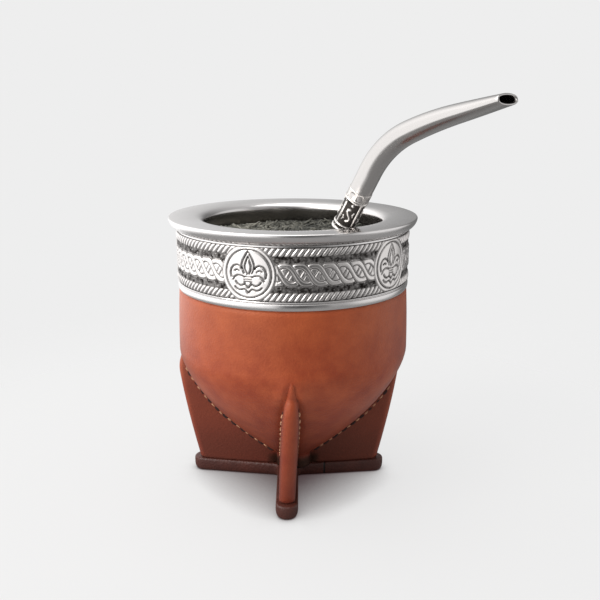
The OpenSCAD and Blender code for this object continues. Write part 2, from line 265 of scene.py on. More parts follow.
def leather_ring(z):
    """One closed outline of the cover at height z: fin, stretch of body, fin, and so on."""
    reach = body_radius(z)
    if z < COLLAR_LOW - 0.4:
        reach = max(reach, HUB_R)
    if z > COLLAR_LOW - 0.05:
        reach = NECK_R
    mounds = [height * math.exp(-((z - MOUND_Z) / MOUND_SPREAD) ** 2) for height in MOUNDS]
    tight = max(0, min(1, (FIN_TOP - 2 - z) / 6))
    fins = [fin_outline(z, fin) for fin in range(4)]
    ring = []
    for fin, run in enumerate(fins):
        # Where the fin barely stands out of the body, its points are spread along the body instead
        proud = max(math.hypot(*p) for p in run) - reach
        out = smooth(proud / 3.0, 0, 1) if z < FIN_TOP else 0
        least = reach - 0.5 * out
        from_a, to_a = sweep(run[0], run[-1])
        for k, p in enumerate(run):
            flush = towards(from_a + (to_a - from_a) * k / (len(run) - 1)) * (reach + mounds[fin])
            p = flush * (1 - out) + p * out
            r = math.hypot(*p)
            ring.append(p * least / r if r < least else p)
        # The body's leather is pulled into a crease beside the fin, with a soft roll next to it
        a0, a1 = sweep(run[-1], fins[(fin + 1) % 4][0])
        for k in range(1, BODY_STEPS):
            share = k / BODY_STEPS
            a = a0 + (a1 - a0) * (share - 0.09 * math.sin(2 * math.pi * share))
            arc = min(a - a0, a1 - a) * reach
            crease = -0.5 * math.exp(-(arc / 1.2) ** 2) + 0.25 * math.exp(-((arc - 3.2) / 1.8) ** 2)
            hill = mounds[fin] if a - a0 < a1 - a else mounds[(fin + 1) % 4]
            ring.append(towards(a) * (reach + tight * crease + hill * math.exp(-(arc / 2.8) ** 2)))
    return ring


def wall(rings, around, inwards=False, closed=False):
    """Faces between rings of points that follow one another; the last may join the first."""
    faces = []
    for ring in range(rings if closed else rings - 1):
        a, b = ring * around, (ring + 1) % rings * around
        for k in range(around):
            n = (k + 1) % around
            faces.append((a + k, b + k, b + n, a + n) if inwards else (a + k, a + n, b + n, b + k))
    return faces


def fan(first, around, pole, inwards=False):
    """Triangles that close a ring of points, which begins at first, with a pole."""
    pairs = [(first + k, first + (k + 1) % around) for k in range(around)]
    return [(n, k, pole) if inwards else (k, n, pole) for k, n in pairs]


def mesh_object(name, points, faces):
    """A finished, smooth-shaded object at the origin from points in mm."""
    mesh = bpy.data.meshes.new(name)
    mesh.from_pydata([mm(*p) for p in points], [], faces)
    mesh.update()
    made = bpy.data.objects.new(name, mesh)
    bpy.context.scene.collection.objects.link(made)
    mesh.shade_smooth()
    return made


# Outside, from the sole up to the rim, with a faint waist where the collar grips the leather
heights = [4.8, 5.2, 5.7, 6.3, 7.0, *np.arange(7.8, 70.2, 0.8), 70.4, 70.8, 71.1]
heights += [71.25, 71.35, 72.5, 78, 85, RIM]
cuts = [leather_ring(z) for z in heights]
around = len(cuts[0])
points = []
for z, cut in zip(heights, cuts):
    waist = 1 - 0.25 / 39 if 70.7 < z < 71.2 else 1
    points += [(x * waist, y * waist, z) for x, y in cut]

# Inside, down again along the gourd
angles = [math.atan2(y, x) for x, y in cuts[-1]]
inner_heights = [RIM, 85, 78, 70, 62, 56, 50, 44, 38, 32, 27, 22, 18, 15, 12.5, 10.5, 9.2]
for z in inner_heights:
    r = 36.1 if z > COLLAR_LOW else body_radius(z, 2)
    if BODY_MID < z <= COLLAR_LOW:
        r = 37.3 - 1.2 * ((z - BODY_MID) / (RIM - BODY_MID)) ** 2
    points += [(r * math.cos(a), r * math.sin(a), z) for a in angles]
rings = len(heights) + len(inner_heights)
faces = wall(rings, around)
faces += fan(0, around, len(points), inwards=True) + fan((rings - 1) * around, around, len(points) + 1)
points += [(SOLE_X, 0, SOLE_TOP), (0, 0, 8.6)]
cover = mesh_object("leather_cover", points, faces)

# How dark each place is painted, partly for burnish and partly as painted shade: 0 bare leather, 1 the
# sides of the fins, 2 painted shadow at the hub and in the crease at the foot
burnish_and_shade = []
for z, cut in zip(heights, cuts):
    for x, y in cut:
        proud = math.hypot(x, y) - max(body_radius(z), HUB_R)
        fold = fin_edge(z) - math.hypot(x - SOLE_X, y)
        rubbed_or_shaded = 0.1 + 0.9 * float(smooth(fold, 0.4, 2.6)) + 0.3 * float(smooth(24 - z, 0, 16))
        # Painted shadow: near-black where the fins meet at the hub and along the crease at the foot
        hub = 2 * float(smooth(11 - z, 0, 4) * smooth(10 - math.hypot(x, y), 0, 2))
        foot = 1.6 * float(smooth(6.4 - z, 0, 1.4))
        burnish_and_shade.append(max(hub, foot, float(smooth(proud, 0.0, 2.0)) * rubbed_or_shaded) if z < FIN_TOP else 0.0)
burnish_and_shade += [0.0] * (len(points) - len(burnish_and_shade))
shade = cover.data.attributes.new("burnish_and_shade", "FLOAT", "POINT")
shade.data.foreach_set("value", np.array(burnish_and_shade, np.float32))

# Full-grain leather, vegetable tanned and waxed: warm tan, mottled, paler near the collar and darker
# towards the bottom, with a satin shine. Its fins are painted darker, partly for burnish and partly as
# painted shade, and near-black as painted shadow at the hub and along the foot. Its grain is about 0.7 mm
# wide.
hide, tree, skin = material("vegetable_tanned_leather")
place = node(tree, "TexCoord").outputs["Object"]
mottle = node(tree, "TexNoise", {"Vector": place, "Scale": 130.0, "Detail": 5.0, "Roughness": 0.65})
cloud = node(tree, "TexNoise", {"Vector": place, "Scale": 26.0, "Detail": 3.0})
grain = node(tree, "TexVoronoi", {"Vector": place, "Scale": 1500.0})
pores = node(tree, "TexNoise", {"Vector": place, "Scale": 900.0, "Detail": 3.0})
tone = node(tree, "MapRange", {"Value": mottle.outputs[0], "From Min": 0.3, "From Max": 0.7})
brown = node(tree, "Mix", {0: tone.outputs[0], 6: linear("#883520"), 7: linear("#A44D2D")},
             data_type="RGBA")
shade = node(tree, "MapRange", {"Value": cloud.outputs[0], "From Min": 0.42, "From Max": 0.7,
                                "To Max": 0.4})
deep = node(tree, "Mix", {0: shade.outputs[0], 6: brown.outputs[2], 7: linear("#6E2A1A")},
            data_type="RGBA")
spot = node(tree, "SeparateXYZ", {"Vector": place})
low = node(tree, "MapRange", {"Value": spot.outputs["Z"], "From Min": 0.045, "From Max": 0.012,
                              "To Max": 0.5})
lower = node(tree, "Mix", {0: low.outputs[0], 6: deep.outputs[2], 7: linear("#62231A")}, data_type="RGBA")
high = node(tree, "MapRange", {"Value": spot.outputs["Z"], "From Min": 0.052, "From Max": 0.07,
                               "To Max": 0.35})
upper = node(tree, "Mix", {0: high.outputs[0], 6: lower.outputs[2], 7: linear("#B05A34")},
             data_type="RGBA")
rubbed_or_shaded = node(tree, "Attribute", attribute_name="burnish_and_shade")
part = node(tree, "Math", {0: rubbed_or_shaded.outputs["Fac"], 1: 0.75}, operation="MULTIPLY")
dark = node(tree, "Mix", {0: part.outputs[0], 6: upper.outputs[2], 7: linear("#61281F")}, data_type="RGBA")
# Painted shadow, near-black, at the hub and in the crease at the foot
crease = node(tree, "MapRange", {"Value": rubbed_or_shaded.outputs["Fac"], "From Min": 1.1, "From Max": 2.0})
painted_crease_shadow = node(tree, "Mix", {0: crease.outputs[0], 6: dark.outputs[2], 7: linear("#2A130E")},
              data_type="RGBA")
tree.links.new(painted_crease_shadow.outputs[2], skin.inputs["Base Color"])
skin.inputs["Roughness"].default_value = 0.46
skin.inputs["Coat Weight"].default_value = 0.22
skin.inputs["Coat Roughness"].default_value = 0.38
skin.inputs["IOR"].default_value = 1.45
skin.inputs["Specular Tint"].default_value = linear("#FFC9A0")
height = node(tree, "Math", {0: grain.outputs["Distance"], 1: pores.outputs[0]}, operation="ADD")
bump = node(tree, "Bump", {"Height": height.outputs[0], "Strength": 0.35, "Distance": 0.0002})
tree.links.new(bump.outputs[0], skin.inputs["Normal"])
cover.data.materials.append(hide)
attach(cover, "root")
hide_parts("leather")


# ---------------------------------------------------------------- saddle stitches
# Waxed linen thread sewn through both layers along the root of each fin. It shows on the fin's
# sides as short dashes, each end pulled down into a punched hole, whose shade is painted as a dark bead.

def joined(name, template_points, template_faces, frames):
    """Copies of one small shape, each placed by its own axes and origin, as one object."""
    shape = np.array(template_points, float)
    points, faces = [], []
    for axes_matrix, origin in frames:
        first = len(points)
        points += (shape @ np.array(axes_matrix, float) + np.array(origin)).tolist()
        faces += [tuple(first + i for i in f) for f in template_faces]
    return mesh_object(name, points, faces)


def bead_shape(segments, rings):
    """A closed rounded bead of unit size, as points and faces."""
    points = [(0, 0, 1)]
    for i in range(1, rings):
        t = math.pi * i / rings
        for k in range(segments):
            a = 2 * math.pi * k / segments
            points.append((math.sin(t) * math.cos(a), math.sin(t) * math.sin(a), math.cos(t)))
    points.append((0, 0, -1))
    faces = []
    for k in range(segments):
        n = (k + 1) % segments
        faces.append((0, 1 + k, 1 + n))
        for i in range(rings - 2):
            a = 1 + i * segments
            faces.append((a + k, a + segments + k, a + segments + n, a + n))
        a = 1 + (rings - 2) * segments
        faces.append((a + k, len(points) - 1, a + n))
    return points, faces


STITCH_PITCH, FIRST_Z, LAST_Z = 4.0, 9.0, 43.0
stitch_frames, hole_shadow_frames = [], []
for fin in range(4):
    sideways_fin = fin % 2 == 1
    slim, proud = (0.78, 0.3) if sideways_fin else (1.15, 0.5)
    for side in (-1, 1):
        path = []
        for z in np.arange(FIRST_Z, LAST_Z, 0.25):
            start = root(z, fin, side)
            centre, along, across = fin_axes(z, fin)
            off = 1.9
            if sideways_fin:
                off = min(4.3, 0.9 + 0.25 * (z - FIRST_Z), 4.3 - 0.07 * max(0, z - 27))
            stand = fin_edge(z) - (start - np.array([SOLE_X, 0])) @ along
            if stand > off + 2.2:
                path.append(np.array([*(start + along * off + across * side * 0.12), z]))
        path = np.array(path)
        length = np.concatenate([[0], np.cumsum(np.linalg.norm(np.diff(path, axis=0), axis=1))])
        for count, s in enumerate(np.arange(2.0, length[-1] - 1, STITCH_PITCH / 2)):
            at = np.array([np.interp(s, length, path[:, i]) for i in range(3)])
            ahead = np.array([np.interp(s + 0.5, length, path[:, i]) for i in range(3)]) - at
            ahead /= np.linalg.norm(ahead)
            out = np.array([*(across * side), 0.0])
            third = np.cross(out, ahead)
            if count % 2:
                stitch_frames.append(([third * 0.42 * slim, out * proud, ahead * 1.05 * slim], at))
            else:
                # Painted shadow of a punched hole between two stitches
                gap_length = 1.25 if sideways_fin else 0.95
                hole_shadow_frames.append(([third * 0.62, out * 0.12, ahead * gap_length], at + out * 0.03))
thread = joined("stitches", *bead_shape(8, 6), stitch_frames)

# Twisted linen thread, waxed: tan, dull, with its twist as fine slanting stripes 0.4 mm apart.
linen, tree, skin = material("waxed_linen_thread")
place = node(tree, "TexCoord").outputs["Object"]
twist = node(tree, "TexWave", {"Vector": place, "Scale": 900.0, "Distortion": 1.0},
             bands_direction="DIAGONAL")
tan = node(tree, "Mix", {0: twist.outputs[0], 6: linear("#8E5C42"), 7: linear("#C99A76")},
           data_type="RGBA")
tree.links.new(tan.outputs[2], skin.inputs["Base Color"])
skin.inputs["Roughness"].default_value = 0.6
thread.data.materials.append(linen)
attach(thread, "root")
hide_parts("leather")
holes = joined("stitch_hole_shadows", *bead_shape(10, 6), hole_shadow_frames)

# Painted shadow of an awl's hole: a thin, very dark brown bead set in the leather between the stitches.
hole_shadow_finish, tree, skin = material("punched_hole_shadow")
place = node(tree, "TexCoord").outputs["Object"]
grit = node(tree, "TexNoise", {"Vector": place, "Scale": 800.0})
dark = node(tree, "Mix", {0: grit.outputs[0], 6: linear("#24100C"), 7: linear("#3A1A13")}, data_type="RGBA")
tree.links.new(dark.outputs[2], skin.inputs["Base Color"])
skin.inputs["Roughness"].default_value = 0.9
holes.data.materials.append(hole_shadow_finish)
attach(holes, "root")
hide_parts("leather")


# ---------------------------------------------------------------- dried gourd
# The calabash itself, scraped and dried. It lies wholly inside the leather; the solid keeps its
# own shape and only gets its finish: a woody, slightly waxy tan shell.
shell, tree, skin = material("dried_calabash_shell")
place = node(tree, "TexCoord").outputs["Object"]
fibre = node(tree, "TexNoise", {"Vector": place, "Scale": 120.0, "Detail": 5.0})
wood = node(tree, "Mix", {0: fibre.outputs[0], 6: linear("#8A6A3E"), 7: linear("#B8945F")},
            data_type="RGBA")
tree.links.new(wood.outputs[2], skin.inputs["Base Color"])
skin.inputs["Roughness"].default_value = 0.65
bump = node(tree, "Bump", {"Height": fibre.outputs[0], "Strength": 0.3, "Distance": 0.0003})
tree.links.new(bump.outputs[0], skin.inputs["Normal"])
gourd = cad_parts["gourd"]
gourd.data.materials.clear()
gourd.data.materials.append(shell)


# ---------------------------------------------------------------- sole
# A cross of sole leather, sewn up under the four fins as a foot. Its arms are strips with round
# ends, skived thinner along their lower edges, and the right arm is made of two butted lengths.
ARM_R, ARM_W, FILLET = 35.0, 7.4, 2.2
outline = []
for fin in range(4):
    turn = math.radians(FIN_DIRS[fin])
    nxt = math.radians(FIN_DIRS[(fin + 1) % 4] + (360 if fin == 3 else 0))
    along, along_next = towards(turn), towards(nxt)
    across = np.array([-along[1], along[0]])
    across_next = np.array([-along_next[1], along_next[0]])
    end = ARM_R - ARM_W / 2
    for k in range(17):
        a = math.radians(-90 + 180 * k / 16)
        outline.append(along * (end + ARM_W / 2 * math.cos(a)) + across * ARM_W / 2 * math.sin(a))
    middle = (turn + nxt) / 2
    opening = (nxt - turn) / 2
    reach = ARM_W / 2 / math.sin(opening) + FILLET / math.sin(opening)
    hub = towards(middle) * reach
    start_a = math.atan2(*(-across)[::-1])
    end_a = math.atan2(*across_next[::-1])
    for k in range(7):
        a = start_a + (((end_a - start_a + math.pi) % (2 * math.pi)) - math.pi) * k / 6
        outline.append(hub + FILLET * towards(a))
outline = np.array(outline) + np.array([SOLE_X, 0])
sides = len(outline)


def inset(outline, amount):
    """The outline moved inwards by amount, point by point."""
    before, after = np.roll(outline, 1, axis=0), np.roll(outline, -1, axis=0)
    tangent = after - before
    tangent /= np.linalg.norm(tangent, axis=1)[:, None]
    normal = np.stack([-tangent[:, 1], tangent[:, 0]], axis=1)
    return outline + normal * amount


# Height of each level and how far its outline is drawn in
levels = [(0, 1.5), (0.12, 0.9), (0.5, 0.45), (1.2, 0.16), (2.2, 0), (3.9, 0), (4.4, 0.1), (4.68, 0.3),
          (SOLE_TOP, 0.7)]
sole_points = []
for z, amount in levels:
    sole_points += [(x, y, z) for x, y in inset(outline, amount)]
sole_faces = wall(len(levels), sides) + fan(0, sides, len(sole_points), inwards=True)
sole_faces += fan((len(levels) - 1) * sides, sides, len(sole_points) + 1)
sole_points += [(SOLE_X, 0, 0), (SOLE_X, 0, SOLE_TOP)]
sole = mesh_object("sole_cross", sole_points, sole_faces)

# Thick sole leather, dark brown and waxed, with a thin black line where two lengths are butted.
hard, tree, skin = material("waxed_sole_leather")
place = node(tree, "TexCoord").outputs["Object"]
mottle = node(tree, "TexNoise", {"Vector": place, "Scale": 150.0, "Detail": 4.0})
grain = node(tree, "TexVoronoi", {"Vector": place, "Scale": 1100.0})
brown = node(tree, "Mix", {0: mottle.outputs[0], 6: linear("#331510"), 7: linear("#54261A")},
             data_type="RGBA")
spot = node(tree, "SeparateXYZ", {"Vector": place})
offset = node(tree, "Math", {0: spot.outputs["X"], 1: 0.0112}, operation="SUBTRACT")
near = node(tree, "Math", {0: offset.outputs[0]}, operation="ABSOLUTE")
joint = node(tree, "MapRange", {"Value": near.outputs[0], "From Min": 0.0002, "From Max": 0.00045})
seam = node(tree, "Mix", {0: joint.outputs[0], 6: linear("#160A08"), 7: brown.outputs[2]}, data_type="RGBA")
tree.links.new(seam.outputs[2], skin.inputs["Base Color"])
skin.inputs["Roughness"].default_value = 0.5
skin.inputs["IOR"].default_value = 1.48
height = node(tree, "Math", {0: grain.outputs["Distance"], 1: joint.outputs[0]}, operation="ADD")
bump = node(tree, "Bump", {"Height": height.outputs[0], "Strength": 0.4, "Distance": 0.0003})
tree.links.new(bump.outputs[0], skin.inputs["Normal"])
sole.data.materials.append(hard)
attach(sole, "root")
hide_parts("sole")


# ---------------------------------------------------------------- spun collar
# The mouthpiece of the cup: nickel-silver sheet spun into a sleeve, a broad rolled lip and a bead,
# then polished. It is pressed down over the rim of the gourd and grips the leather's edge.
LIP_Z, BAND_R, MOUTH_R, LIP_R, LIP_W = 94.8, 39.1, 30.0, 41.7, 11.7
BACK_R = 38.5


def bend(a, b, c, steps):
    """Points of a curve from a to c that is drawn towards b, without a itself."""
    made = []
    for i in range(1, steps + 1):
        u = i / steps
        made.append(tuple(a[j] * (1 - u) ** 2 + b[j] * 2 * u * (1 - u) + c[j] * u * u for j in (0, 1)))
    return made


mouth_edge = (MOUTH_R, LIP_Z - 2.2)
mouth_top = (MOUTH_R + 0.28 * LIP_W, LIP_Z + 0.15)
outer_top = (LIP_R - 0.5, LIP_Z + 0.3)
outer_side = (LIP_R, LIP_Z - 0.2)
band_top, bead_top = LIP_Z - 3.5, COLLAR_LOW + 2.2
profile = [(MOUTH_R, 76.8), (MOUTH_R, 84), (MOUTH_R, 90), mouth_edge]
profile += bend(mouth_edge, (MOUTH_R, LIP_Z - 0.2), mouth_top, 12)
profile += bend(mouth_top, (MOUTH_R + 0.6 * LIP_W, LIP_Z + 0.6), outer_top, 12)
profile += bend(outer_top, (LIP_R, LIP_Z + 0.3), outer_side, 5)
profile += bend(outer_side, (LIP_R - 0.3, LIP_Z - 2.2), (BAND_R + 0.05, band_top + 0.1), 12)
profile += [
    (BAND_R - 0.15, band_top), (BAND_R - 0.4, band_top - 0.1), (BAND_R - 0.4, band_top - 0.5),
    (BACK_R, band_top - 0.6), (BACK_R, bead_top + 0.9),
    (BAND_R - 0.4, bead_top + 0.85), (BAND_R - 0.35, bead_top + 0.8),
    (BAND_R - 0.12, bead_top + 0.75), (BAND_R - 0.05, bead_top + 0.6), (BAND_R - 0.1, bead_top + 0.45),
    (BAND_R - 0.35, bead_top + 0.35), (BAND_R - 0.4, bead_top + 0.25), (BAND_R - 0.4, bead_top + 0.1),
]
profile += bend((BAND_R - 0.4, bead_top + 0.1), (BAND_R, bead_top), (BAND_R - 0.02, bead_top - 0.5), 5)
profile += bend((BAND_R - 0.02, bead_top - 0.5), (BAND_R - 0.05, COLLAR_LOW + 0.2),
                (BAND_R - 0.6, COLLAR_LOW), 8)
profile += [(38.2, COLLAR_LOW), (38.2, 92.4), (30.9, 92.4), (30.9, 76.8)]
bpy.ops.object.select_all(action="DESELECT")
bpy.ops.mesh.primitive_plane_add(size=0.001)
collar = bpy.context.active_object
collar.name = "spun_collar"
collar.data.clear_geometry()
collar.data.from_pydata(
    [mm(r, 0, z) for r, z in profile], [(i, (i + 1) % len(profile)) for i in range(len(profile))], []
)
bpy.ops.object.mode_set(mode="EDIT")
bpy.ops.mesh.select_all(action="SELECT")
bpy.ops.mesh.spin(steps=192, angle=2 * math.pi, center=(0, 0, 0), axis=(0, 0, 1))
bpy.ops.mesh.select_all(action="SELECT")
bpy.ops.mesh.remove_doubles(threshold=0.000002)
bpy.ops.mesh.normals_make_consistent(inside=False)
bpy.ops.object.mode_set(mode="OBJECT")
bpy.ops.object.shade_smooth_by_angle(angle=math.radians(38))

# Nickel silver, spun and mirror polished, with the faint circular lines that polishing leaves. The
# inside of the sleeve is painted a darker grey: painted shade for the dark mouth that it lines and
# reflects.
silver, tree, skin = material("polished_nickel_silver")
place = node(tree, "TexCoord").outputs["Object"]
spot = node(tree, "SeparateXYZ", {"Vector": place})
flat = node(tree, "CombineXYZ", {"X": spot.outputs["X"], "Y": spot.outputs["Y"]})
far = node(tree, "VectorMath", {0: flat.outputs[0]}, operation="LENGTH")
lines_at = node(tree, "CombineXYZ", {"X": far.outputs["Value"], "Z": spot.outputs["Z"]})
lines = node(tree, "TexNoise", {"Vector": lines_at.outputs[0], "Scale": 2600.0, "Detail": 2.0})
haze = node(tree, "TexNoise", {"Vector": place, "Scale": 90.0, "Detail": 3.0})
# Painted shade: the inside of the sleeve, below the lip, is painted darker grey
within = node(tree, "MapRange", {"Value": far.outputs["Value"], "From Min": 0.0312, "From Max": 0.0302})
below = node(tree, "MapRange", {"Value": spot.outputs["Z"], "From Min": 0.0936, "From Max": 0.0918})
sleeve_shade_mask = node(tree, "Math", {0: within.outputs[0], 1: below.outputs[0]}, operation="MULTIPLY")
sleeve_painted_shade = node(tree, "Mix", {0: sleeve_shade_mask.outputs[0], 6: linear("#DCD9D8"), 7: linear("#7E7A76")}, data_type="RGBA")
tree.links.new(sleeve_painted_shade.outputs[2], skin.inputs["Base Color"])
skin.inputs["Metallic"].default_value = 1.0
rough = node(tree, "MapRange", {"Value": haze.outputs[0], "From Min": 0.3, "From Max": 0.7,
                                "To Min": 0.14, "To Max": 0.24})
tree.links.new(rough.outputs[0], skin.inputs["Roughness"])
bump = node(tree, "Bump", {"Height": lines.outputs[0], "Strength": 0.12, "Distance": 0.00005})
tree.links.new(bump.outputs[0], skin.inputs["Normal"])
collar.data.materials.append(silver)
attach(collar, "root")
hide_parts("collar")


# ---------------------------------------------------------------- stamped band
# A strip of the same metal, rolled between engraved dies and soldered round the collar: rope
# borders, a three-strand braid on a stippled ground, and five round medallions with a lily.
# The recesses are blackened and the high places rubbed bright.
COLUMNS, ROWS = 1000, 72
MEDALLIONS, MEDALLION_R, FIELD_R = 5, 8.9, 7.6
ROPE_MID, ROPE_HALF = 6.9, 1.45
BRAID_TURNS, BRAID_SWING, STRAND_W = 11, 3.15, 1.3
BAND_BACK_R = 38.45
BAND_LOW, BAND_HIGH = bead_top + 0.95, band_top - 0.6
half_band = (BAND_HIGH - BAND_LOW) / 2
repeat = 2 * math.pi * BAND_R / MEDALLIONS
u, v = np.meshgrid(np.arange(COLUMNS) * 2 * math.pi * BAND_R / COLUMNS,
                   np.linspace(-half_band, half_band, ROWS + 1))

# Ground, stippled with a punch
pick = np.random.default_rng(7)
ground = pick.random((ROWS + 1, COLUMNS))
ground = (ground + np.roll(ground, 1, 0) + np.roll(ground, 1, 1) + np.roll(ground, (1, 1), (0, 1))) / 4
relief = -0.30 + 0.35 * (ground - 0.5)

# Rope borders
across = (np.abs(v) - ROPE_MID) / ROPE_HALF
lay = (u - 0.75 * v) / 1.85
lay = lay - np.floor(lay)
pad = np.sqrt(np.clip(1 - across ** 2, 0, 1)) * np.sqrt(np.clip(1 - (2.3 * np.abs(lay - 0.5)) ** 2, 0, 1))
rope = -0.34 + 0.46 * pad
relief = np.where(np.abs(across) < 1.05, rope, relief)

# Braid of three strands; where two cross, the one that falls to the right lies on top
turn = repeat / BRAID_TURNS
best = np.full(u.shape, -9.0)
for strand in range(3):
    phase = 2 * math.pi * (u / (3 * turn) + strand / 3)
    middle = BRAID_SWING * np.sin(phase) * (1 + 0.12 * np.cos(2 * phase))
    slope = BRAID_SWING * np.cos(phase) * 2 * math.pi / (3 * turn)
    off = np.abs(v - middle) / np.sqrt(1 + slope ** 2)
    body = np.where(off < STRAND_W / 2 + 0.25, 1.0, 0.0)
    shape = 0.10 - 0.05 * (off / (STRAND_W / 2)) ** 2
    shape = shape - 0.36 * np.exp(-((off - STRAND_W / 2 - 0.05) / 0.16) ** 2)
    shape -= 0.08 * np.exp(-(off / 0.12) ** 2)
    rank = np.where(slope < 0, 2.0, 1.0)
    score = np.where(body > 0, rank, -9.0)
    relief = np.where((body > 0) & (score >= best), shape, relief)
    best = np.maximum(best, score)
inside = (np.abs(v) < 4.0) & (best < 0)
relief = np.where(inside & (np.abs(v) < 2.2), -0.02 + 0.1 * (ground - 0.5), relief)

# Medallions
first_at = math.radians(-90 - 19.5) * BAND_R
du = (u - first_at + repeat / 2) % repeat - repeat / 2
radius = np.hypot(du, v)
relief = np.where(radius < MEDALLION_R, 0.06 - 0.3 * np.exp(-((radius - 8.75) / 0.16) ** 2), relief)


def engraved(relief, distance, width, depth):
    """The relief with a line of that half width cut into the medallions."""
    return np.where(radius < FIELD_R, relief - depth * np.exp(-(distance / width) ** 2), relief)


def to_path(points):
    """Distance from each place on the medallion to a path, mirrored left to right."""
    best = np.full(u.shape, 99.0)
    x = np.abs(du)
    for (ax, ay), (bx, by) in zip(points[:-1], points[1:]):
        length = (bx - ax) ** 2 + (by - ay) ** 2
        t = np.clip(((x - ax) * (bx - ax) + (v - ay) * (by - ay)) / length, 0, 1)
        best = np.minimum(best, np.hypot(x - ax - t * (bx - ax), v - ay - t * (by - ay)))
    return best


relief = relief - 0.42 * np.exp(-((radius - 7.35) / 0.22) ** 2)
petal = [(0, 6.8), (0.85, 5.4), (1.6, 4.1), (2.0, 2.8), (1.9, 1.7), (1.2, 0.1)]
heart = [(0, 5.3), (0.55, 3.9), (1.05, 2.5), (0.95, 1.3), (0.25, -0.2)]
arm = [(2.1, 1.5), (2.6, 2.1), (3.6, 2.5), (4.7, 2.2), (5.5, 1.3), (5.8, 0.1), (5.5, -1.3)]
fold_line = [(3.0, 0.7), (3.7, 1.0), (4.4, 0.7)]
curl = [(1.35, -1.0), (2.3, -0.7), (3.5, -0.65), (4.5, -1.2), (5.1, -2.1)]
lower_curl = [(0.95, -2.9), (1.5, -3.5), (2.5, -3.8), (3.5, -3.3), (4.1, -2.5)]
tail = [(0, -5.9), (0.55, -5.3), (1.1, -4.8), (1.8, -4.9), (2.7, -5.2), (3.6, -4.9), (4.3, -4.2)]
point = [(0, -4.4), (0.5, -3.8), (0.9, -3.5)]
for path in (petal, heart, arm, fold_line, curl, lower_curl, tail, point):
    relief = engraved(relief, to_path(path), 0.24, 0.44)
for bar in (-1.0, -1.7, -2.4):
    relief = engraved(relief, to_path([(0, bar), (1.2, bar)]), 0.17, 0.38)

edge = smooth(half_band - np.abs(v), 0, 0.3)
relief = relief * edge - 0.25 * (1 - edge)
relief = np.clip(relief, -0.5, 0.12)
dirt = np.clip(1 - smooth(relief, -0.30, -0.02), 0, 1)

angle = u / BAND_R
turned = BAND_R + relief
height = v + (BAND_LOW + BAND_HIGH) / 2
grid = np.stack([turned * np.cos(angle), turned * np.sin(angle), height], axis=-1)
band_points = grid.reshape(-1, 3).tolist()
for z in (BAND_HIGH, BAND_LOW):
    band_points += [(BAND_BACK_R * math.cos(a), BAND_BACK_R * math.sin(a), z) for a in angle[0]]
band = mesh_object("stamped_band", band_points, wall(ROWS + 3, COLUMNS, closed=True))
shade = band.data.attributes.new("recess", "FLOAT", "POINT")
shade.data.foreach_set("value", np.concatenate([dirt.ravel(), np.ones(2 * COLUMNS)]).astype(np.float32))

# The collar's nickel silver, bright where it is rubbed, black and matt in the recesses.
stamped, tree, skin = material("blackened_stamped_silver")
place = node(tree, "TexCoord").outputs["Object"]
recess = node(tree, "Attribute", attribute_name="recess")
grit = node(tree, "TexNoise", {"Vector": place, "Scale": 700.0, "Detail": 3.0})
patchy = node(tree, "MapRange", {"Value": grit.outputs[0], "From Min": 0.3, "From Max": 0.7,
                                 "To Min": 0.65, "To Max": 1.1})
black = node(tree, "Math", {0: recess.outputs["Fac"], 1: patchy.outputs[0]},
             operation="MULTIPLY", use_clamp=True)
metal = node(tree, "Mix", {0: black.outputs[0], 6: linear("#DCD8D6"), 7: linear("#2A2624")},
             data_type="RGBA")
tree.links.new(metal.outputs[2], skin.inputs["Base Color"])
skin.inputs["Metallic"].default_value = 1.0
rough = node(tree, "MapRange", {"Value": black.outputs[0], "To Min": 0.24, "To Max": 0.7})
tree.links.new(rough.outputs[0], skin.inputs["Roughness"])
bump = node(tree, "Bump", {"Height": grit.outputs[0], "Strength": 0.15, "Distance": 0.0001})
tree.links.new(bump.outputs[0], skin.inputs["Normal"])
band.data.materials.append(stamped)
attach(band, "root")
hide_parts("collar")


# ---------------------------------------------------------------- filling
# Cut yerba leaf, moistened and pressed: a grey-green bed of leaf dust with flakes and pale stalks
# lying loose on top. It fills the gourd and reaches up inside the sleeve round the straw.
FILL_Z = 89.0
LEAN, LEAN_DIR, REST_DIR = math.radians(31), math.radians(-44), math.radians(-51)
REST_R = MOUTH_R - (3.6 + 0.1) / math.cos(LEAN)
FOOT = np.array([REST_R * math.cos(REST_DIR), REST_R * math.sin(REST_DIR), LIP_Z])
AXIS = np.array([math.sin(LEAN) * math.cos(LEAN_DIR), math.sin(LEAN) * math.sin(LEAN_DIR),
                 math.cos(LEAN)])
pick = np.random.default_rng(11)
lumps = [(pick.uniform(-30, 30), pick.uniform(-30, 30), pick.uniform(1.2, 4), pick.uniform(-0.5, 0.45))
         for _ in range(260)]


def bed(x, y):
    """Height of the leaf bed, lumpy and a little higher towards the straw."""
    z = FILL_Z - 0.5 + 0.018 * x - 0.010 * y
    for cx, cy, size, tall in lumps:
        z = z + tall * np.exp(-((x - cx) ** 2 + (y - cy) ** 2) / size ** 2)
    return z


around = 160
about = np.arange(around) * 2 * math.pi / around
fill_points = []
for r in np.linspace(0.6, 29.95, 44):
    x, y = r * np.cos(about), r * np.sin(about)
    fill_points += np.stack([x, y, bed(x, y)], axis=1).tolist()
for r, z in ((29.95, 76.8), (30.9, 76.7), (31.6, 66), (32.1, 56), (32.2, 50), (30.4, 44), (27, 38),
             (23.2, 33), (13.5, 23), (5.7, 16.5), (2, 13.8), (0.6, 13.65)):
    fill_points += [(r * math.cos(a), r * math.sin(a), z) for a in about]
rings = len(fill_points) // around
fill_faces = wall(rings, around, inwards=True) + fan(0, around, len(fill_points))
fill_faces += fan((rings - 1) * around, around, len(fill_points) + 1, inwards=True)
fill_points += [(0, 0, float(bed(np.array(0.0), np.array(0.0)))), (0, 0, 13.62)]
fill = mesh_object("leaf_bed", fill_points, fill_faces)


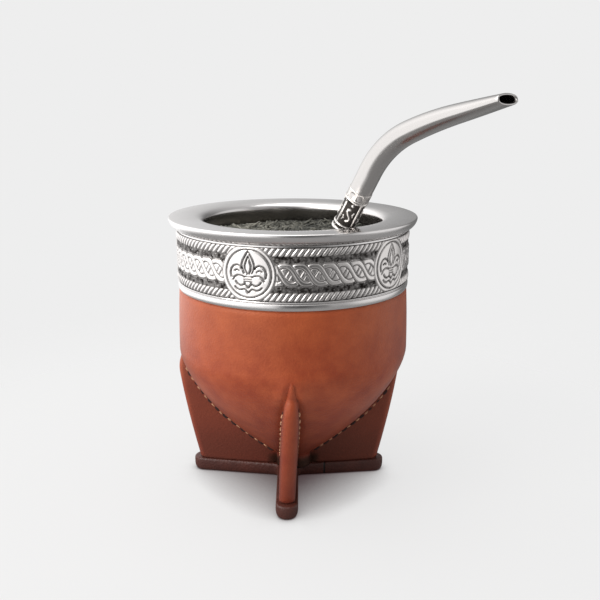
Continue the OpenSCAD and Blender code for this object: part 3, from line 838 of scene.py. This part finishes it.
def leaf_finish(name, scale, roughness, right_tones, left_tones):
    """Cut leaf: darker on the right, towards the straw, and paler on the left."""
    finish, tree, skin = material(name)
    place = node(tree, "TexCoord").outputs["Object"]
    patchy = node(tree, "TexNoise", {"Vector": place, "Scale": scale, "Detail": 4.0})
    spread = node(tree, "MapRange", {"Value": patchy.outputs[0], "From Min": 0.3, "From Max": 0.7})
    right_mix = node(tree, "Mix", {0: spread.outputs[0], 6: linear(right_tones[0]), 7: linear(right_tones[1])},
                  data_type="RGBA")
    left_mix = node(tree, "Mix", {0: spread.outputs[0], 6: linear(left_tones[0]), 7: linear(left_tones[1])},
                   data_type="RGBA")
    spot = node(tree, "SeparateXYZ", {"Vector": place})
    # Darker to the right and paler to the left, across the bed
    rightwards = node(tree, "MapRange", {"Value": spot.outputs["X"], "From Min": -0.022, "From Max": 0.002})
    tone = node(tree, "Mix", {0: rightwards.outputs[0], 6: left_mix.outputs[2], 7: right_mix.outputs[2]},
                data_type="RGBA")
    tree.links.new(tone.outputs[2], skin.inputs["Base Color"])
    skin.inputs["Roughness"].default_value = roughness
    return finish, tree, skin, place


# Leaf ground to dust and pressed: matt, with the crumbs standing up as a fine roughness.
leaf, tree, skin, place = leaf_finish(
    "moist_cut_yerba", 700.0, 0.85, ("#191916", "#3C3C36"), ("#3A3933", "#6C6B62"))
clump = node(tree, "TexVoronoi", {"Vector": place, "Scale": 900.0})
bump = node(tree, "Bump", {"Height": clump.outputs["Distance"], "Strength": 0.8, "Distance": 0.0006})
tree.links.new(bump.outputs[0], skin.inputs["Normal"])
fill.data.materials.append(leaf)
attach(fill, "root")
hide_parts("yerba")


STREWN_R = 29.4


def scattered(name, shape_points, shape_faces, count, sizes, lift, seed):
    """Copies of one small shape strewn over the bed, clear of the sleeve and of the straw."""
    pick = np.random.default_rng(seed)
    frames = []
    while len(frames) < count:
        x, y = pick.uniform(-STREWN_R, STREWN_R, 2)
        long = pick.uniform(*sizes[0])
        if math.hypot(x, y) > STREWN_R - long * 0.5:
            continue
        z = float(bed(np.array(x), np.array(y))) + pick.uniform(*lift)
        t = (z - FOOT[2]) / AXIS[2]
        if math.hypot(x - FOOT[0] - t * AXIS[0], y - FOOT[1] - t * AXIS[1]) < 4.6 + long * 0.4:
            continue
        turn, tip, roll = pick.uniform(0, 2 * math.pi), pick.normal(0, 0.3), pick.normal(0, 0.4)
        ahead = np.array([math.cos(turn) * math.cos(tip), math.sin(turn) * math.cos(tip), math.sin(tip)])
        side = np.cross([0, 0, 1], ahead)
        side /= np.linalg.norm(side)
        up = np.cross(ahead, side)
        side, up = (side * math.cos(roll) + up * math.sin(roll),
                    up * math.cos(roll) - side * math.sin(roll))
        side, up = side * pick.uniform(*sizes[1]), up * pick.uniform(*sizes[2])
        frames.append(([ahead * long, side, up], (x, y, z)))
    return joined(name, shape_points, shape_faces, frames)


flake_points = [(-0.5, 0.1, 0), (-0.1, 0.5, 0.5), (0.4, 0.3, 0.1), (0.5, -0.2, -0.3), (0, -0.5, 0.3),
                (-0.1, 0.5, -0.3), (0.4, 0.3, -0.7), (0, -0.5, -0.6), (0, 0, 0.9), (0, 0, -0.9)]
flake_faces = [(8, 1, 0), (8, 2, 1), (8, 3, 2), (8, 4, 3), (8, 0, 4), (9, 0, 5), (9, 5, 6), (9, 6, 3),
               (9, 3, 7), (9, 7, 0), (0, 1, 5), (1, 2, 6, 5), (2, 3, 6), (3, 4, 7), (4, 0, 7)]
flakes = scattered("leaf_flakes", flake_points, flake_faces, 5200, ((0.5, 2.1), (0.4, 1.3), (0.12, 0.3)),
                   (-0.1, 0.35), 21)
cut_leaf = leaf_finish("dried_leaf_flake", 420.0, 0.75, ("#1E1E1A", "#484841"), ("#45443D", "#86857B"))[0]
flakes.data.materials.append(cut_leaf)
stalk_points = []
for x, r in ((-0.5, 0.42), (0, 0.5), (0.5, 0.36)):
    stalk_points += [(x, r * math.cos(math.pi * k / 3), r * math.sin(math.pi * k / 3)) for k in range(6)]
stalk_faces = wall(3, 6) + [(5, 4, 3, 2, 1, 0), (12, 13, 14, 15, 16, 17)]
stalks = scattered("leaf_stalks", stalk_points, stalk_faces, 260, ((2.0, 5.5), (0.5, 0.9), (0.5, 0.9)),
                   (0.1, 0.5), 22)
stem = leaf_finish("dried_leaf_stalk", 900.0, 0.7, ("#38372F", "#5C5B52"), ("#66645A", "#96948A"))[0]
stalks.data.materials.append(stem)
for piece in (flakes, stalks):
    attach(piece, "root")
    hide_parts("yerba")


# ---------------------------------------------------------------- straw
# The drinking straw of stainless tube, bent twice and pressed flat at the mouth, then polished.
# A wider tube begins inside the upper part of the ornament, and the open end is left round-edged.

STRAIGHT, BEND_1, BEND_2, FLAT_RUN = 20, 18.5, 17, 51
TURN_1, TURN_2 = math.radians(36), math.radians(8.5)


def flattening(at):
    """How far the tube is pressed flat at a distance along the straw, from 0 to 1."""
    return min(1, max(0, (at - STRAIGHT) / FLAT_RUN))


def straw_frame(at):
    """Middle line and slope of the tube at a distance along the straw."""
    def arc(length, a0, a1):
        if abs(a1 - a0) < 1e-5:
            return length * np.array([math.sin(a0), math.cos(a0)])
        r = length / (a1 - a0)
        return r * np.array([math.cos(a0) - math.cos(a1), math.sin(a1) - math.sin(a0)])

    first = min(max(0, at - STRAIGHT), BEND_1)
    second = min(max(0, at - STRAIGHT - BEND_1), BEND_2)
    rest = max(0, at - STRAIGHT - BEND_1 - BEND_2)
    a1 = LEAN + TURN_1 * first / BEND_1
    a2 = a1 + TURN_2 * second / BEND_2
    p = arc(min(at, STRAIGHT), LEAN, LEAN) + arc(first, LEAN, a1) + arc(second, a1, a2) + arc(rest, a2, a2)
    return p, a2


outwards = np.array([math.cos(LEAN_DIR), math.sin(LEAN_DIR), 0])
sideways = np.array([-math.sin(LEAN_DIR), math.cos(LEAN_DIR), 0])


def tube_ring(at, half_h, half_w, sides):
    p, a = straw_frame(at)
    middle = FOOT + outwards * p[0] + np.array([0, 0, p[1]])
    high = np.array([0, 0, 1]) * math.sin(a) - outwards * math.cos(a)
    power = 1 - 0.25 * flattening(at) ** 2
    ring = []
    for k in range(sides):
        t = 2 * math.pi * k / sides
        c, s = math.cos(t), math.sin(t)
        ring.append(middle + high * half_h * math.copysign(abs(c) ** power, c) + sideways * half_w * s)
    return ring


stations = [(-74, 3.1), (-60, 3.1), (-40, 3.1), (-20, 3.1), (-6, 3.1), (9.0, 3.1), (9.2, 3.45),
            (9.4, 3.58), (9.7, 3.6)]
outside = [(at, r, r) for at, r in stations]
for at in np.arange(10.7, 70.6, 0.8):
    flat = flattening(at)
    outside.append((at, 3.6 - 1.95 * flat ** 2.2, 3.6 + 1.4 * flat))
outside += [(70.75, 1.66, 5.0), (70.93, 1.56, 4.9), (71.0, 1.4, 4.75)]
inside = [(71.0, 1.25, 4.6), (70.85, 1.1, 4.45)]
for at in (70, 66, 60, 50, 40, 30, 20, 10, 0, -20, -50, -73):
    flat = flattening(at)
    inside.append((at, 3.0 - 1.95 * flat ** 2.2, 3.0 + 1.4 * flat) if at > 9 else (at, 2.5, 2.5))
SIDES = 64
straw_points = []
for at, half_h, half_w in outside + inside:
    straw_points += [tuple(p) for p in tube_ring(at, half_h, half_w, SIDES)]
rings = len(outside) + len(inside)
last = (rings - 1) * SIDES
straw_faces = wall(rings, SIDES, inwards=True)
straw_faces += [tuple(range(SIDES)), tuple(last + k for k in reversed(range(SIDES)))]
straw = mesh_object("straw_tube", straw_points, straw_faces)

# Stainless steel, polished, its shine a little uneven.
steel, tree, skin = material("polished_stainless_tube")
place = node(tree, "TexCoord").outputs["Object"]
haze = node(tree, "TexNoise", {"Vector": place, "Scale": 140.0, "Detail": 3.0})
rough = node(tree, "MapRange", {"Value": haze.outputs[0], "From Min": 0.3, "From Max": 0.7,
                                "To Min": 0.13, "To Max": 0.22})
skin.inputs["Base Color"].default_value = linear("#BAB7B5")
skin.inputs["Metallic"].default_value = 1.0
tree.links.new(rough.outputs[0], skin.inputs["Roughness"])
bump = node(tree, "Bump", {"Height": haze.outputs[0], "Strength": 0.1, "Distance": 0.0002})
tree.links.new(bump.outputs[0], skin.inputs["Normal"])
straw.data.materials.append(steel)
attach(straw, "root")
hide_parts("straw")


# ---------------------------------------------------------------- straw's ornament
# A cast sleeve of white metal soldered round the tube: a ring at each end and scrolls between
# them, blackened in the recesses. It carries the straw where it leans on the lip.
ORN_ROWS, ORN_SIDES = 130, 176
ORN_LOW, ORN_HIGH, ORN_R = -1.8, 13.2, 3.45
along_at = np.linspace(ORN_LOW, ORN_HIGH, ORN_ROWS + 1)
about = np.arange(ORN_SIDES) * 2 * math.pi / ORN_SIDES
s, t = np.meshgrid(along_at, about, indexing="ij")
panel = 2 * math.pi * ORN_R / 4
w = (ORN_R * (t - math.radians(-122)) + panel / 2) % panel - panel / 2


def off_path(path):
    """Distance on the unrolled sleeve from each place to a path in the middle of every panel."""
    best = np.full(s.shape, 99.0)
    for (ax, ay), (bx, by) in zip(path[:-1], path[1:]):
        length = (bx - ax) ** 2 + (by - ay) ** 2
        part = np.clip(((w - ax) * (bx - ax) + (s - ay) * (by - ay)) / length, 0, 1)
        best = np.minimum(best, np.hypot(w - ax - part * (bx - ax), s - ay - part * (by - ay)))
    return best


def ridge(distance, half, height):
    return height * np.sqrt(np.clip(1 - (distance / half) ** 2, 0, 1))


scroll = [(0.1, 7.0), (0.75, 6.8), (0.85, 6.1), (0.4, 5.4), (-0.2, 4.7), (-0.7, 3.9), (-0.6, 3.2), (0, 2.9)]
leaves = [(-1.5, 6.4), (-1.2, 5.6), (-1.4, 4.9)], [(1.5, 4.4), (1.25, 3.6), (1.5, 2.9)]
rise = np.full(s.shape, -0.14)
for off, half, height, sunk in (
        (off_path(scroll), 0.38, 0.34, 0.16), (off_path(leaves[0]), 0.24, 0.26, 0.14),
        (off_path(leaves[1]), 0.24, 0.26, 0.14), (np.abs(np.abs(w) - panel / 2), 0.42, 0.3, 0.16),
        (np.abs(w) + np.abs(s - 8.5) * 0.8, 0.55, 0.3, 0.14), (s - 9.9, 0.42, 0.36, 0.16),
        (s - 0.7, 0.5, 0.32, 0.16), (s + 1.1, 0.7, 0.36, 0.16)):
    rise = np.maximum(rise, ridge(off, half, height) - sunk)
knot = np.hypot((w + 0.9) * 0.9, (s - 11.7) * 0.75)
knot = np.minimum(knot, np.hypot((w - 1.5) * 0.9, (s - 11.5) * 0.75))
top = np.where(knot < 0.7, -0.16, 0.03 - 0.06 * np.cos(6 * (knot - 0.7)))
rise = np.where((s > 10.35) & (s < 12.9), top, rise)
rise = np.where(s >= 12.9, 0.06, rise)
orn_r = ORN_R + rise + 0.2 * smooth(s, 8.8, 9.4)
frame_high = np.array([0, 0, 1]) * math.sin(LEAN) - outwards * math.cos(LEAN)
centre_line = FOOT[None, None, :] + AXIS[None, None, :] * s[..., None]
shell_points = centre_line + orn_r[..., None] * (
    np.cos(t)[..., None] * frame_high + np.sin(t)[..., None] * sideways)
ring_points = shell_points.reshape(-1, 3).tolist()
for at, r in ((ORN_HIGH, 3.3), (ORN_LOW, 3.1)):
    ring_points += [tuple(FOOT + AXIS * at + r * (math.cos(a) * frame_high + math.sin(a) * sideways))
                    for a in about]
orn_faces = wall(ORN_ROWS + 3, ORN_SIDES, inwards=True, closed=True)
ornament = mesh_object("straw_ornament_sleeve", ring_points, orn_faces)
shade = ornament.data.attributes.new("recess", "FLOAT", "POINT")
dark = np.clip(1 - smooth(rise, -0.12, 0.06), 0, 1)
shade.data.foreach_set("value", np.concatenate([dark.ravel(), np.ones(2 * ORN_SIDES)]).astype(np.float32))

# Cast white metal, bright on the raised scrolls, dark and duller in the recesses.
cast, tree, skin = material("blackened_cast_silver")
recess = node(tree, "Attribute", attribute_name="recess")
place = node(tree, "TexCoord").outputs["Object"]
grit = node(tree, "TexNoise", {"Vector": place, "Scale": 900.0, "Detail": 2.0})
metal = node(tree, "Mix", {0: recess.outputs["Fac"], 6: linear("#D6D2CE"), 7: linear("#4C4845")},
             data_type="RGBA")
tree.links.new(metal.outputs[2], skin.inputs["Base Color"])
skin.inputs["Metallic"].default_value = 1.0
rough = node(tree, "MapRange", {"Value": recess.outputs["Fac"], "To Min": 0.25, "To Max": 0.6})
tree.links.new(rough.outputs[0], skin.inputs["Roughness"])
bump = node(tree, "Bump", {"Height": grit.outputs[0], "Strength": 0.2, "Distance": 0.0001})
tree.links.new(bump.outputs[0], skin.inputs["Normal"])
ornament.data.materials.append(cast)
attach(ornament, "root")
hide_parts("straw_ornament")
